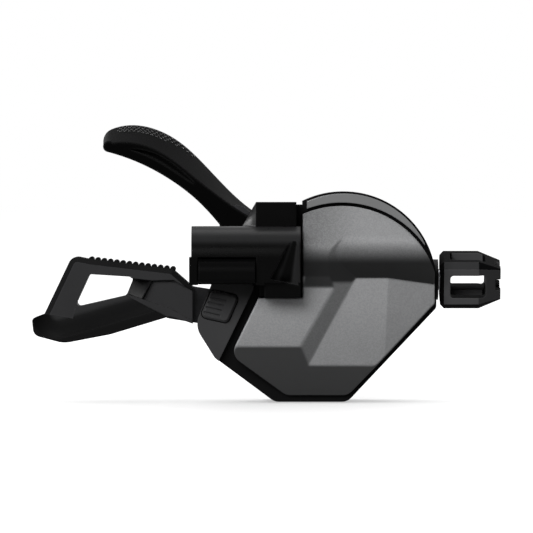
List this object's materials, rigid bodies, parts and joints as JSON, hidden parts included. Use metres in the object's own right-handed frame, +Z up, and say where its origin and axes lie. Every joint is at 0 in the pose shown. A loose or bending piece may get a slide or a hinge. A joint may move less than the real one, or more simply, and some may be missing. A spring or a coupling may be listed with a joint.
{
  "type": "trigger gear shifter",
  "caption": "Trigger gear shifter with a faceted cover, a winding thumb lever, a loop release lever, a ratchet reel, a direct-mount bracket with a threaded clamp nut and a cable adjuster.",
  "frame": {"origin": "mouth of the threaded hole in the underside of the clamp nut", "axes": "+X towards the cable outlet, +Y from the front cover to the rear cover, +Z up"},
  "size_m": [0.1105, 0.0398, 0.0656],
  "materials": {
    "cover_grey": "satin grey metallic paint",
    "housing_black": "fine satin black moulding",
    "strip_gloss": "gloss grey",
    "cap_grey": "dark grey satin moulding",
    "bracket_black": "black coated alloy",
    "nut_black": "gloss black plating",
    "screw_steel": "dark steel",
    "plate_steel": "stamped steel",
    "axle_steel": "turned steel",
    "washer_brass": "rolled brass",
    "reel_alloy": "machined alloy",
    "pawl_steel": "hardened steel",
    "arm_steel": "black oxide steel",
    "lever_black": "satin dark moulding",
    "spring_steel": "drawn steel wire",
    "sleeve_alloy": "dark anodised",
    "knob_black": "satin dark moulding",
    "ring_rubber": "matt rubber"
  },
  "bodies": {
    "shifter_body": {"main_cover": "cover_grey", "housing": "housing_black", "rear_cover": "housing_black", "accent_strip": "strip_gloss", "cable_cap": "cap_grey", "mounting_bracket": "bracket_black", "clamp_nut": "nut_black", "bracket_screws": "screw_steel", "base_plate": "plate_steel", "base_plate_screws": "screw_steel", "cover_screws": "screw_steel", "main_axle": "axle_steel", "axle_nut": "axle_steel", "axle_clip": "spring_steel", "reel_washer": "washer_brass", "arm_washer": "washer_brass", "arm_spacer": "axle_steel", "rear_washer": "washer_brass", "reel_spring": "spring_steel", "positioning_pawl_pin": "pawl_steel", "main_lever_spring": "spring_steel", "release_lever_spring": "spring_steel", "adjuster_ring": "ring_rubber"},
    "main_lever": {"main_lever_arm": "arm_steel", "main_lever_pad": "lever_black", "winding_pawl_pin": "pawl_steel"},
    "release_lever": {"release_lever_arm": "arm_steel", "release_lever_pad": "lever_black"},
    "reel": {"wire_reel": "reel_alloy"},
    "winding_catch": {"winding_pawl": "pawl_steel"},
    "holding_catch": {"positioning_pawl": "pawl_steel"},
    "adjuster": {"adjuster_knob": "knob_black", "adjuster_sleeve": "sleeve_alloy"},
    "access_plug": {"cable_access_plug": "cap_grey"}
  },
  "joints": [
    {"name": "main_lever_swing", "type": "hinge", "parent": "shifter_body", "child": "main_lever", "pos_m": [0.0242, 0.0237, -0.0108], "axis": [0, -1, 0], "range_deg": [0, 35], "stiffness_Nm_per_rad": 0.2, "springref_deg": -22.92},
    {"name": "release_lever_swing", "type": "hinge", "parent": "shifter_body", "child": "release_lever", "pos_m": [0.0242, 0.0207, -0.0108], "axis": [0, -1, 0], "range_deg": [-12, 12], "stiffness_Nm_per_rad": 0.3},
    {"name": "reel_turn", "type": "hinge", "parent": "shifter_body", "child": "reel", "pos_m": [0.0242, 0.0163, -0.0108], "axis": [0, -1, 0], "range_deg": [0, 150]},
    {"name": "winding_pawl_turn", "type": "hinge", "parent": "main_lever", "child": "winding_catch", "pos_m": [0.03649, 0.0187, -0.0012], "axis": [0, 1, 0], "range_deg": [0, 12], "stiffness_Nm_per_rad": 0.01, "springref_deg": -11.46},
    {"name": "positioning_pawl_turn", "type": "hinge", "parent": "shifter_body", "child": "holding_catch", "pos_m": [0.00915, 0.0173, -0.01782], "axis": [0, 1, 0], "range_deg": [0, 12], "stiffness_Nm_per_rad": 0.01, "springref_deg": -11.46},
    {"name": "adjuster_turn", "type": "hinge", "parent": "shifter_body", "child": "adjuster", "pos_m": [0.0574, 0.01495, 0.0004], "axis": [1, 0, 0], "continuous": true},
    {"name": "access_plug_pull", "type": "slide", "parent": "shifter_body", "child": "access_plug", "axis": [0, -1, 0], "range_m": [0, 0.008]}
  ]
}
